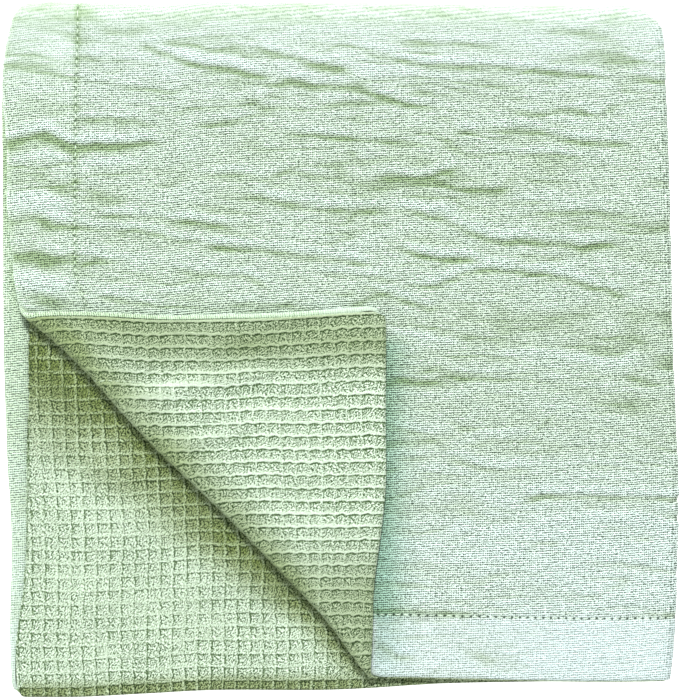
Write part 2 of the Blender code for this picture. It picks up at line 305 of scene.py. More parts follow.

# %% [markdown]
# ## Creases
# Crinkled muslin is two layers of gauze that shrink unevenly in the wash, so it is full of soft
# creases that run across the cloth. The main ones are drawn here as troughs and ridges with a
# depth and a half-width. Noise could make every crease, but then none would lie where the real
# ones do, so noise only fills in the small crinkles between them.

# %% Main creases: depth and half-width (a ridge has a negative depth), then points, in millimetres
CREASES = (
    (1.1, 2.0, (-192, 114), (-183, 114), (-164, 117), (-145, 111), (-118, 112), (-101, 113)),
    (-0.6, 2.6, (-192, 105), (-164, 107), (-140, 103), (-112, 104)),
    (-0.9, 4.2, (-186, 84), (-168, 84), (-152, 80)),
    (0.85, 2.8, (-192, 70), (-182, 70), (-169, 72), (-156, 67), (-143, 67)),
    (0.6, 2.3, (-192, 50), (-171, 52), (-150, 48), (-129, 48)),
    (-1.1, 4.5, (-184, 40), (-170, 39), (-156, 36)),
    (0.4, 1.6, (-143, 160), (-129, 159)),
    (0.9, 2.0, (-106, 166), (-95, 162), (-79, 156), (-63, 154), (-45, 150), (-15, 147)),
    (0.5, 1.6, (-143, 126), (-127, 126), (-102, 123)),
    (0.6, 1.8, (-45, 164), (-26, 160), (-8, 155), (8, 151)),
    (0.7, 1.8, (-38, 145), (-12, 144), (10, 142), (27, 137), (43, 132)),
    (0.5, 1.6, (-8, 134), (8, 135), (22, 134)),
    (0.6, 1.6, (-28, 118), (-8, 116), (10, 115), (44, 112)),
    (0.6, 1.7, (15, 162), (33, 158), (56, 155), (88, 154), (111, 152), (143, 150)),
    (0.4, 1.6, (33, 169), (60, 167), (88, 166)),
    (0.5, 1.6, (93, 131), (111, 129), (125, 131), (143, 127)),
    (0.6, 1.8, (63, 118), (88, 120), (106, 120), (123, 115), (157, 112)),
    (0.5, 1.5, (82, 107), (108, 106), (134, 105)),
    (0.6, 1.6, (-74, 95), (-59, 96), (-40, 94), (-26, 97), (-10, 94)),
    (0.6, 1.6, (22, 95), (43, 94), (51, 95), (65, 99)),
    (0.5, 1.5, (56, 90), (70, 87), (93, 88)),
    (0.4, 1.6, (-26, 89), (-5, 87), (15, 84)),
    (0.7, 2.0, (-49, 84), (-26, 79), (-4, 76), (47, 74), (65, 67), (82, 60), (106, 59),
     (134, 56), (150, 57)),
    (0.5, 1.6, (116, 74), (134, 75), (157, 73)),
    (0.4, 1.5, (95, 80), (114, 81)),
    (0.5, 1.5, (168, 92), (182, 92), (190, 92)),
    (0.6, 1.6, (-129, 73), (-95, 71), (-72, 68), (-59, 66)),
    (0.6, 1.6, (-143, 67), (-125, 65), (-106, 64), (-90, 60), (-77, 59)),
    (0.7, 1.8, (-72, 57), (-59, 55), (-40, 54), (-10, 49), (15, 46)),
    (1.0, 1.8, (33, 55), (47, 51), (61, 49), (77, 48)),
    (1.0, 2.0, (72, 43), (88, 43), (106, 41), (123, 38), (139, 34), (155, 30)),
    (0.6, 1.6, (43, 34), (51, 34), (63, 39), (77, 43)),
    (0.6, 1.7, (-88, 43), (-67, 40), (-54, 40), (-40, 34)),
    (0.5, 1.6, (-12, 42), (4, 40), (33, 37)),
    (0.5, 1.6, (-132, 29), (-118, 26), (-100, 23)),
    (0.4, 1.5, (-59, 25), (-42, 24), (-26, 24)),
    (0.6, 1.6, (15, 34), (33, 27), (51, 22)),
    (0.4, 1.5, (65, 25), (88, 24)),
    (0.5, 1.6, (54, 8), (70, 7), (88, 5)),
    (-0.5, 2.2, (31, 10), (65, 5)),
    (-0.4, 2.4, (88, -3), (111, -1), (153, -7), (164, 0)),
    (0.5, 1.6, (24, -15), (54, -18)),
    (0.4, 1.5, (65, -16), (95, -17)),
    (0.3, 1.0, (95, -55), (106, -46), (123, -31)),
    (0.5, 1.6, (26, -42), (47, -47)),
    (0.4, 1.5, (98, -56), (111, -57)),
    (0.5, 1.6, (31, -60), (61, -61), (77, -65), (104, -67)),
    (0.8, 1.8, (102, -81), (134, -81), (164, -82), (190, -82)),
    (-0.5, 2.2, (134, -91), (164, -92), (190, -98)),
    (0.4, 1.5, (100, -107), (134, -107)),
    (0.5, 1.6, (141, -117), (171, -120), (190, -124)),
    (0.5, 1.6, (29, -128), (54, -131)),
    (0.6, 1.8, (21, -161), (33, -169), (43, -169)),
    (-0.5, 4.0, (18, -172), (30, -173)),
    (0.4, 1.5, (50, -178), (56, -175), (62, -171)),
    (0.4, 1.5, (71, -165), (77, -168), (84, -172)),
    (0.4, 1.5, (94, -169), (100, -172), (107, -176)),
    (0.3, 1.5, (112, -180), (118, -177), (125, -174)),
    (0.9, 4.0, (-170, 29), (-160, 27), (-150, 24)),
    (0.3, 10.0, (50, 16), (120, 17), (215, 17)),
)
TURNED_CREASES = (
    (-1.2, 4.5, (-116, -26), (-98, -21), (-77, -17), (-58, -13), (-44, -12), (-30, -15)),
    (1.0, 3.8, (-104, -34), (-92, -32), (-76, -26), (-62, -24), (-40, -21)),
    (-1.2, 3.4, (-95, -50), (-80, -49), (-66, -47)),
    (1.0, 3.0, (-84, -58), (-70, -54), (-54, -50), (-48, -47)),
    (-0.9, 4.0, (-50, -34), (-30, -33), (-8, -36)),
    (0.9, 3.0, (-46, 8), (-20, 12), (0, 14)),
    (-0.9, 5.0, (-30, -88), (-10, -94), (6, -98)),
)
CREASE_FADES = 0.007  # least length over which a crease starts and ends
CREASE_SHARPNESS = 1.05
print(len(CREASES) + len(TURNED_CREASES), "creases drawn by hand")


# %% The creases and the crinkles as a height
@functools.lru_cache
def noise_knots(seed):
    """The random values that one kind of noise runs through."""
    return np.random.default_rng(seed).uniform(-1.0, 1.0, (256, 256))


def noise(across, up, seed):
    """Smooth seeded noise between -1 and 1, one lump to a unit."""
    knots = noise_knots(seed)
    column, row = np.floor(across).astype(int), np.floor(up).astype(int)
    u, v = across - column, up - row
    u, v = u * u * (3 - 2 * u), v * v * (3 - 2 * v)
    left, right, low, high = column % 256, (column + 1) % 256, row % 256, (row + 1) % 256
    below = knots[left, low] * (1 - u) + knots[right, low] * u
    above = knots[left, high] * (1 - u) + knots[right, high] * u
    return below * (1 - v) + above * v


def crease_height(x, y, creases):
    """Height of the listed creases at places of the folded blanket."""
    height = np.zeros_like(x)
    for depth, half_width, *points in creases:
        points = np.array(points, float) * MM
        start, end = points[0, 0], points[-1, 0]
        fade = max(CREASE_FADES, 3 * half_width * MM)
        near = (x > start - fade) & (x < end + fade)
        centre = along(points, x[near]) + 0.7 * MM * noise(x[near] / 0.007, x[near] * 0 + start / 0.01, 11)
        slope = (along(points, x[near] + MM) - centre) / MM
        across = (y[near] - centre) / np.hypot(1.0, slope) / (CREASE_SHARPNESS * half_width * MM)
        ends = eased(x[near], start - fade, start + fade)
        ends = ends * (1 - eased(x[near], end - fade, end + fade))
        ends = ends * (0.85 + 0.4 * noise(x[near] / 0.009, x[near] * 0 + start / 0.01, 12))
        trough = hump(across, 1.0) - 0.6 * hump(across - 1.9, 1.3)
        height[near] -= depth * MM * ends * trough
    return height


def crinkle_height(s, t):
    """Height of the small crinkles, which run across the cloth."""
    drift = 0.006 * noise(s / 0.045, t / 0.03, 3) + 0.0015 * noise(s / 0.012, t / 0.012, 4)
    long_ones = noise(s / 0.034 + 7, (t + drift) / 0.0048, 5)
    short_ones = noise(s / 0.017 + 3, (t + 0.7 * drift) / 0.0027, 6)
    patches = 0.75 + 0.45 * noise(s / 0.05, t / 0.04, 7)
    fine_lines = hump(noise(s / 0.05, (t + 1.4 * drift) / 0.0055, 13), 0.16)
    fine_lines = fine_lines * np.clip(0.35 + 1.3 * noise(s / 0.035, t / 0.011, 14), 0.0, 1.0)
    return patches * (0.25 * MM * long_ones + 0.14 * MM * short_ones) - 0.5 * MM * fine_lines


# %% [markdown]
# ## Topstitching
# One line of stitches runs all round, inside the edge, and holds the two panels together. It pulls
# the cloth in, so the line is a groove first, and the stitches lie in it later.

# %% Where the line of stitches runs, and how it pulls the cloth in
STITCH_INSET_SIDE = 0.0385
STITCH_INSET_BOTTOM = 0.0355
STITCH_LINES = (HALF_WIDTH - STITCH_INSET_SIDE, HALF_LENGTH - STITCH_INSET_BOTTOM)
STITCH_PITCH = 0.0043
STITCH_GROOVE = 0.00032
PUCKER_PITCH = 0.0105
PUCKER_HEIGHT = 0.09 * MM
PUCKER_REACH = (0.011, 0.005)  # outside the line of stitches, and inside it


def from_stitching(s, t):
    """Distance outside the line of stitches, less than 0 on the inside of it."""
    return np.abs(s) - STITCH_LINES[0], np.abs(t) - STITCH_LINES[1]


def stitch_pull(s, t):
    """Height of the groove along the stitches, and of the puckers beside it."""
    side, bottom = from_stitching(s, t)
    height = np.zeros_like(s)
    for distance, other, place in ((side, bottom, t), (bottom, side, s)):
        on_line = 1 - eased(other, 0.0, 0.002)
        groove = hump(distance, 1.2 * MM)
        pucker = np.sin(2 * math.pi * place / PUCKER_PITCH + 2.5 * noise(place / 0.03, s * 0, 9))
        fading = hump(distance, np.where(distance > 0, *PUCKER_REACH))
        height += on_line * (-STITCH_GROOVE * groove + PUCKER_HEIGHT * pucker * fading)
    return height


# %% [markdown]
# ## The muslin panel
# A thin closed slab, cut flat. Its outer face needs a fine mesh where it shows, for the creases, and
# the faces inside the stack don't. So the slab is cut on its folds first, and then only the faces
# that show are subdivided, with more cuts up the cloth than across it, because the creases run
# across. The rim is extruded several times, which gives the cloth that rolls over the edge and the
# strip that lies on the waffle face.
#
# Each point also gets named values for the materials. The shade follows the creases, and that is
# painted shade, deeper in the troughs. More of it is light and not cloth: the picture's light differs
# from place to place in ways that the lamps at the end don't give, so light and shadow are also
# painted on by place. Under other lamps that looks wrong. `painted_light`, `beside`, `close_by`,
# `rim`, `calm`, `rolled`, `shelter` and `beside_crest` make it.


# %% Tools for flat panels
def to_mesh(bm, name):
    """Turn a working mesh into a mesh, and free it."""
    mesh = bpy.data.meshes.new(name)
    bm.to_mesh(mesh)
    bm.free()
    return mesh


def add_object(name, data):
    """Put a mesh, a lamp or a camera into the scene."""
    added = bpy.data.objects.new(name, data)
    bpy.context.scene.collection.objects.link(added)
    return added


def cut_lines(bm, places, way):
    """Cut the whole flat panel on parallel lines."""
    for place in places:
        geometry = bm.verts[:] + bm.edges[:] + bm.faces[:]
        bmesh.ops.bisect_plane(bm, geom=geometry, dist=1e-6, plane_co=way * place, plane_no=way)


def bend_lines(radius, facets):
    """Arc lengths, either side of the middle of a bend, at which its facets meet."""
    quarter = math.pi / 2 * radius
    return [quarter * (2 * step / facets - 1) for step in range(facets + 1)]


def spaced(start, end, step):
    """Both signs of evenly stepped places between start and end."""
    return [sign * place for place in np.arange(start, end, step) for sign in (-1, 1)]


def flat_slab(low, high, insets, columns, rows):
    """The blanket's flat shape between two heights, inset from the rim and cut on lines."""
    bm = bmesh.new()
    bmesh.ops.create_cube(bm, size=1.0)
    size = (2 * (RIM_WIDTH - insets[0]), 2 * (RIM_LENGTH - insets[1]), high - low)
    bmesh.ops.scale(bm, vec=size, verts=bm.verts)
    bmesh.ops.translate(bm, vec=(0, 0, (low + high) / 2), verts=bm.verts)
    cut_lines(bm, columns, Vector((1, 0, 0)))
    cut_lines(bm, rows, Vector((0, 1, 0)))
    return bm


def is_level(face, level):
    """True for a face that lies flat at a height of the slab."""
    return all(abs(vert.co.z - level) < 1e-7 for vert in face.verts)


def subdivide_face_quads(bm, level, shows, cuts, shortest):
    """Subdivide the quads at one height that show, leaving edges alone that are short already.

    cuts holds the number of cuts up the cloth, and then across it.
    """
    for axis, axis_cuts in zip((1, 0), cuts):
        faces = [face for face in bm.faces if len(face.verts) == 4 and is_level(face, level)]
        middles = np.array([face.calc_center_median().xy for face in faces])
        faces = [face for face, seen in zip(faces, shows(*middles.T)) if seen]
        edges = {
            edge for face in faces for edge in face.edges
            if abs(edge.verts[0].co[axis] - edge.verts[1].co[axis]) > shortest
        }
        bmesh.ops.subdivide_edges(bm, edges=list(edges), cuts=axis_cuts, use_grid_fill=True)


def round_corners(bm, insets):
    """Bend the square corners of a flat panel into arcs, keeping its grid of quads."""
    wide, high = RIM_CORNER - insets[0], RIM_CORNER - insets[1]
    for vert in bm.verts:
        across = abs(vert.co.x) - (RIM_WIDTH - RIM_CORNER)
        up = abs(vert.co.y) - (RIM_LENGTH - RIM_CORNER)
        if across > 0 and up > 0:
            a = across * math.sqrt(1 - up * up / (2 * high * high))
            b = up * math.sqrt(1 - across * across / (2 * wide * wide))
            vert.co.x = math.copysign(RIM_WIDTH - RIM_CORNER + a, vert.co.x)
            vert.co.y = math.copysign(RIM_LENGTH - RIM_CORNER + b, vert.co.y)


def cut_turn(bm, level, facets):
    """Cut everything except the fine face on the lines where the corner is turned back."""
    way = Vector((1, 1, 0)).normalized()
    faces = [
        face for face in bm.faces
        if max(vert.co.x for vert in face.verts) < 0 and max(vert.co.y for vert in face.verts) < 0
        and not is_level(face, level)
    ]
    around = {item for face in faces for item in (*face.edges, *face.verts)}
    geometry = faces + list(around)
    for line in bend_lines(TURN_RADIUS, facets):
        point = Vector((TURNED_LEG - math.sqrt(2) * line - HALF_WIDTH, -HALF_LENGTH, 0))
        geometry = bmesh.ops.bisect_plane(
            bm, geom=geometry, dist=1e-6, plane_co=point, plane_no=way
        )["geom"]


def make_cloth(bm, name, relief):
    """Fold a flat panel into an object that keeps its flat place as a UV map.

    relief gives, for flat places, the places after the cloth's own small moves, the new offset,
    and named values for the materials.
    """
    bmesh.ops.triangulate(bm, faces=[face for face in bm.faces if len(face.verts) > 4])
    mesh = to_mesh(bm, name)
    flat = np.empty(len(mesh.vertices) * 3)
    mesh.vertices.foreach_get("co", flat)
    s, t, o = flat.reshape(-1, 3).T
    corners = np.empty(len(mesh.loops), np.int32)
    mesh.loops.foreach_get("vertex_index", corners)
    cloth = mesh.uv_layers.new(name="cloth")
    cloth.uv.foreach_set("vector", np.column_stack((0.5 + s, 0.5 + t))[corners].ravel())
    *moved, named_values = relief(s, t, o)
    for value_name, values in named_values.items():
        mesh.attributes.new(value_name, "FLOAT", "POINT").data.foreach_set("value", values)
    mesh.vertices.foreach_set("co", np.column_stack(folded(*moved)).ravel())
    mesh.shade_smooth()
    triangles = sum(len(face.vertices) - 2 for face in mesh.polygons)
    print(name, "has", triangles, "triangles")
    return add_object(name, mesh)


# %% Which parts of the flat cloth are turned back, covered, on show or sheltered
def covered(s, t):
    """1 where the top ply lies under its own turned corner, or is turned itself, and 0 elsewhere."""
    past = eased(turned_share(s, t), -0.006, 0.0)
    under = 1 - eased(np.maximum(HALF_WIDTH + s, HALF_LENGTH + t), TURNED_LEG - 0.004, TURNED_LEG + 0.002)
    return np.where((s < 0) & (t < 0), np.maximum(past, under), 0.0)


CREST = (
    (-0.168, 0.0145), (-0.1498, 0.0008), (-0.1212, -0.0295), (-0.0217, -0.1318),
    (-0.0057, -0.1505), (0.0086, -0.1675), (0.0163, -0.184),
)


def past_crest(x, y):
    """Distance of a place of the folded blanket from the crest, less than 0 on the turned corner."""
    return 0.69 * (along(CREST, x) - y)


def shelter(x, y):
    """How deep the painted shadow is at a place of the second ply, in the hollow under the crest, from 0 to
    1.
    """
    reach = np.clip(0.026 + 0.46 * (y + 0.142), 0.02, 0.09)
    patches = 1 + 0.3 * noise(x / 0.025, y / 0.018, 41)
    return np.clip((1 - eased(past_crest(x, y), -0.004, reach)) * patches, 0.0, 1.0)


def beside_crest(x, y):
    """How deep the painted shade is at a place of the turned corner, on the roll beside the crest, or near
    its ends.
    """
    reach = np.clip(0.022 + 0.16 * (y + 0.07), 0.022, 0.036)
    strength = 0.9 + 0.1 * eased(y, -0.06, 0.0)
    beside = strength * (1 - eased(-past_crest(x, y), -0.002, reach))
    ends = np.maximum(0.7 * eased(y, -0.024, 0.006), 0.7 * eased(-y, 0.095, 0.14))
    patches = 1 + 0.25 * noise(x / 0.025, y / 0.018, 42)
    return np.clip(np.maximum(beside, ends) * patches, 0.0, 1.0)


# %% Model the muslin
MUSLIN_QUAD = (0.0216, 0.0088)
FLAP_EDGE = 0.0225  # x of the turned corner's right edge
EDGE_ROLL_FACETS = 6
STRIP_FACETS = 3


def add_turnings(bm):
    """Grow the muslin's rim by what will roll over the edge, plus the strip that lies beyond."""
    bm.normal_update()
    rim = [face for face in bm.faces if abs(face.normal.z) < 0.5]
    roll = math.pi * HALF_PLY / EDGE_ROLL_FACETS
    for step in range(EDGE_ROLL_FACETS + STRIP_FACETS):
        grown = bmesh.ops.extrude_face_region(bm, geom=rim)["geom"]
        verts = [item for item in grown if isinstance(item, bmesh.types.BMVert)]
        s, t = np.array([vert.co.xy for vert in verts]).T
        beyond, way_s, way_t = beyond_rim(s, t)
        grow = strip_width(s - way_s * beyond, t - way_t * beyond) / STRIP_FACETS
        if step < EDGE_ROLL_FACETS:
            grow = np.full_like(s, roll)
        for vert, move_s, move_t in zip(verts, way_s * grow, way_t * grow):
            vert.co.x += move_s
            vert.co.y += move_t
        bmesh.ops.delete(bm, geom=rim, context="FACES")
        rim = [item for item in grown if isinstance(item, bmesh.types.BMFace)]


def painted_light(x, y):
    """Light and shadow that is painted on the muslin, by place on the folded blanket."""
    at_right = eased(x, 0.08, 0.15)
    at_left = 1 - eased(x, -0.16, -0.13)
    paler_low = 0.08 * eased(-y, 0.03, 0.1)
    paler_low_right = 0.2 * eased(x, 0.05, 0.14) * eased(-y, 0.05, 0.13)
    deeper_top = 0.075 * eased(y, 0.09, 0.15) * (1 - 0.8 * at_right)
    deeper_top_fold = 0.13 * eased(y, 0.173, 0.184)
    return paler_low + paler_low_right - deeper_top - 0.03 * at_left - deeper_top_fold


LOWEST, HIGHEST = -0.9 * MM, 1.4 * MM  # limits of the creases, so that the plies stay apart
SHADE_RANGE = 1.9 * MM  # height over which the shade goes from 0 to 1


def muslin_relief(s, t, o):
    """Creases on the muslin's outer face, the thin edge of the turned strip, and the shades."""
    beyond = beyond_rim(s, t)[0]
    inner_s, inner_t, _ = turn_edge(s, t, np.zeros_like(o))
    x, y, _ = fold(inner_s, inner_t, np.zeros_like(o))
    side, bottom = from_stitching(s, t)
    top_ply = (1 - eased(s, 0.0, 0.004)) * (1 - eased(t, 0.0, 0.008))
    hidden = covered(s, t)
    outer = o > HALF_PLY - MUSLIN / 2
    hem = at_hem(s, t)

    # Height: creases and crinkles, lower at the top fold, in the hem and wherever the cloth is hidden.
    smooth = 1 - 0.45 * eased(y, 0.165, 0.18) - 0.4 * eased(bottom, 0.0, 0.005) * top_ply
    height = crinkle_height(s, t) * smooth + crease_height(x, y, CREASES) * top_ply
    height = height + stitch_pull(s, t)
    under = eased(t, 0.0, 0.012)
    height = height * (1 - 0.75 * hidden) - 0.35 * MM * hidden
    height = height * (1 - 0.5 * under) - 0.3 * MM * under
    height = height * (1 - 0.5 * eased(beyond, 0.0, 0.004))
    height = np.clip(height, LOWEST, HIGHEST)
    past_roll = beyond - math.pi * HALF_PLY
    strip = strip_width(s, t)
    thinned = np.minimum(0.9 * MM, 0.3 * strip) * eased(past_roll, -0.0006, strip)
    thinned = thinned + 0.8 * MM * eased(beyond, 1.2 * MM, 2.6 * MM) * hem
    offset = np.where(outer, HALF_PLY + height - thinned, o)

    # Shade, all of it painted: deeper in the troughs of the height, a painted shadow line just inside the
    # bottom stitches, paler and deeper puckers, and the painted light by place.
    tuck_shade = hump(bottom + 1.9 * MM, 1.6 * MM) * (1 - eased(side, -0.002, 0.0)) * (t < 0)
    tuck_shade = tuck_shade * (0.85 + 0.6 * noise(s / 0.028, s * 0, 15))
    scallops = np.clip(stitch_pull(s, t) / (0.3 * MM), -1.0, 1.0) * (bottom > 0)
    shade = 0.5 + height / SHADE_RANGE - 0.34 * tuck_shade + 0.03 * scallops + painted_light(x, y)
    shade = np.where(outer, np.clip(shade, 0.0, 1.0), 0.5)

    # Grain: how strongly the threads show. Calm: painted light, how far the colour turns cooler where they
    # don't.
    low_hem = eased(-y, 0.142, 0.15)
    grain = 1 - 0.62 * eased(y, 0.1, 0.175) - 0.28 * low_hem - 0.32 * eased(-y, 0.02, 0.12)
    calm = 1 - np.clip(grain - 0.16 * low_hem, 0.3, 1.0)
    grain = grain - 0.25 * (1 - top_ply) - 0.12 * eased(side, 0.0, 0.002) * top_ply
    grain = np.clip(grain, 0.3, 1.0) * (1 - 0.4 * eased(y, 0.173, 0.184))

    # Rolled: painted shade, a darker colour where the edge turns away from the light.
    edge = eased(beyond, 0.5 * MM, 2.5 * MM) * np.where(s < 0, 0.3, 1.0)
    side_edge = 0.55 * eased(beyond, 1.5 * MM, 3 * MM) * (1 - eased(beyond, 3.6 * MM, 5.6 * MM))
    right_edge = np.maximum(side_edge, 0.22 * eased(beyond, 4 * MM, 6 * MM))
    left_edge = 0.12 + 0.3 * eased(beyond, 3.4 * MM, 5.2 * MM)
    side_edge = np.where(s > 0, right_edge, left_edge)
    edge = np.where(hem, edge, side_edge * (beyond > 0))

    # Painted shadows: beside the turned corner, and on the second ply close by the top ply's edge.
    beside = hump(x - FLAP_EDGE, 0.013) * (x > FLAP_EDGE - 0.004)
    beside = beside * (0.55 + 0.45 * eased(y, -0.152, -0.143)) * eased(y, -0.19, -0.16)
    beside = beside * (1 - eased(y, 0.0, 0.012)) * top_ply
    downward = np.clip((0.191 - y) / 0.38, 0.0, 1.0)
    from_top_ply = along(LEFT_EDGE, downward) + along(TOP_PLY_INSET, downward) - x
    close_by = hump(from_top_ply - 0.0004, 0.0019) * (s > 0) * (t < 0) * (y > 0.012)
    # A painted highlight on the top ply's rim, where the threads also show less.
    rim = eased(beyond, 0.0, 2 * MM) * (1 - hem) * (s < 0)
    shade = np.clip(shade - 0.12 * close_by + 0.02 * rim, 0.0, 1.0)
    grain = grain * (1 + 0.35 * beside) * (1 - 0.5 * rim)
    edge = np.maximum(edge, 0.35 * close_by)
    named_values = {"shade": shade, "grain": grain, "calm": calm, "shelter": beside, "rolled": edge}
    return s, t, offset, named_values


def muslin_shows(s, t):
    """True for the faces of the muslin that are seen close up."""
    hidden = (covered(s, t) > 0.99) & (beyond_rim(s, t)[0] < -MUSLIN_QUAD[0])
    return (s < SIDE_RADIUS * 1.6) & (t < TOP_RADIUS * 1.6) & ~hidden


quad_s, quad_t = MUSLIN_QUAD
corner_lines = [RIM_CORNER * share for share in (1.0, 0.6, 0.25)]
muslin_bm = flat_slab(
    HALF_PLY - MUSLIN, HALF_PLY, (0.0, 0.0),
    columns=bend_lines(SIDE_RADIUS, 8) + spaced(0.012, RIM_WIDTH - 0.01, quad_s)
    + [sign * (RIM_WIDTH - line) for line in corner_lines for sign in (-1, 1)],
    rows=bend_lines(TOP_RADIUS, 12) + spaced(0.012, RIM_LENGTH - 0.009, quad_t)
    + [sign * (RIM_LENGTH - line) for line in corner_lines for sign in (-1, 1)],
)
subdivide_face_quads(muslin_bm, HALF_PLY, muslin_shows, (12, 7), 0.004)
round_corners(muslin_bm, (0.0, 0.0))
add_turnings(muslin_bm)
cut_turn(muslin_bm, HALF_PLY, 10)
muslin = make_cloth(muslin_bm, "muslin_face", muslin_relief)

# %% [markdown]
# ## The waffle panel
# Waffle weave has long floating threads that pull the cloth into ridges around sunken squares. Bump
# alone would look flat from the side, and would not break up the edge of a fold. So each cell gets
# its own small grid of faces, crowded towards the ridges, and the height is worked out from the
# place on the flat cloth. The threads themselves are left to the material.

# %% Height of the waffle weave
CELL_ACROSS = 0.0071
CELL_ALONG = 0.0074
# Signed distance from a ridge, in cells, and height in millimetres. The groove is on one side only.
RIDGE = (
    (-0.5, 0.0), (-0.2, 0.14), (-0.12, 0.34), (-0.06, 0.42), (0.0, 0.34), (0.06, -0.24),
    (0.12, -0.26), (0.2, -0.06), (0.5, 0.0),
)
# Shade across a ridge, in the same cells: a painted highlight on the ridge and a painted shadow in the
# groove on one side.
RIDGE_SHADE = (
    (-0.5, 0.0), (-0.2, 0.2), (-0.12, 0.4), (0.0, 0.3), (0.05, -0.7), (0.1, -0.45),
    (0.16, 0.0), (0.5, 0.0),
)
CROSSWISE_RIDGE = (0.35, 0.85)  # strength of the ridges across, on the top ply and the second
CROSSWISE_GROOVE = (0.2, 0.65)
RIB_CROWD = ((0.0, 0.0), (0.125, 0.06), (0.25, 0.12), (0.375, 0.2), (0.5, 0.5))
CELLS_TO_A_QUAD = 2
CELL_CUTS = 8


def in_cell(place, cell):
    """Signed distance from the nearest ridge, in cells, from minus a half to a half."""
    return (place / cell + 0.5) % 1.0 - 0.5


def crowded(place, cell):
    """Move places towards the nearest ridge, so that its steep sides get their own faces."""
    far = in_cell(place, cell)
    return place + (np.sign(far) * along(RIB_CROWD, np.abs(far)) - far) * cell


def woven(profile, s, t):
    """Lay a profile along the ridges both ways, where each ridge breaks the other's groove."""
    across = -np.sign(s) * in_cell(s, CELL_ACROSS)
    up = -in_cell(t, CELL_ALONG)
    lengthwise = along(profile, across)
    crosswise = along(profile, up)
    on_crosswise = hump(up + 0.08, 0.13)
    on_lengthwise = hump(across + 0.08, 0.1)
    along_ridge = np.where(s < 0, 1.0, 0.7) * lengthwise
    ridges = np.maximum(np.maximum(along_ridge, np.where(s < 0, *CROSSWISE_RIDGE) * crosswise), 0.0)
    low_across = np.where(s < 0, *CROSSWISE_GROOVE) * crosswise * (1 - on_lengthwise)
    grooves = np.minimum(np.minimum(lengthwise * (1 - 0.85 * on_crosswise), low_across), 0.0)
    grooves = grooves * (1 + np.where(s < 0, 0.3, 0.75) * noise(s / 0.006, t / 0.006, 26))
    return np.where(s < 0, 1.0, 0.5) * ridges + np.where(s < 0, 1.2, 0.8) * grooves


def weave_wander(s, t):
    """How far the ridges stray from straight lines: slow drifts, and a small arch in each cell."""
    across = 0.7 * MM * noise(s / 0.03, t / 0.022, 21)
    across = across + 0.3 * MM * np.cos(2 * math.pi * t / CELL_ALONG) * (1 + noise(s / 0.008, t / 0.01, 24))
    up = 0.7 * MM * noise(s / 0.022, t / 0.03, 22)
    up = up + 0.2 * MM * np.cos(2 * math.pi * s / CELL_ACROSS) * (1 + noise(s / 0.01, t / 0.008, 25))
    return across, up


def lap_hem(s, t, o):
    """Lay the waffle's margin beyond the rim on to the muslin's rolled edge, along the hems."""
    beyond, way_s, way_t = beyond_rim(s, t)
    laps = (beyond > 0) & (o < 0) & at_hem(s, t)
    angle = math.pi - np.arcsin(np.clip(beyond / HALF_PLY, 0.0, 1.0))
    move = np.where(laps, angle * HALF_PLY - beyond, 0.0)
    return s + way_s * move, t + way_t * move, np.where(laps, HALF_PLY + 0.2 * MM, o)


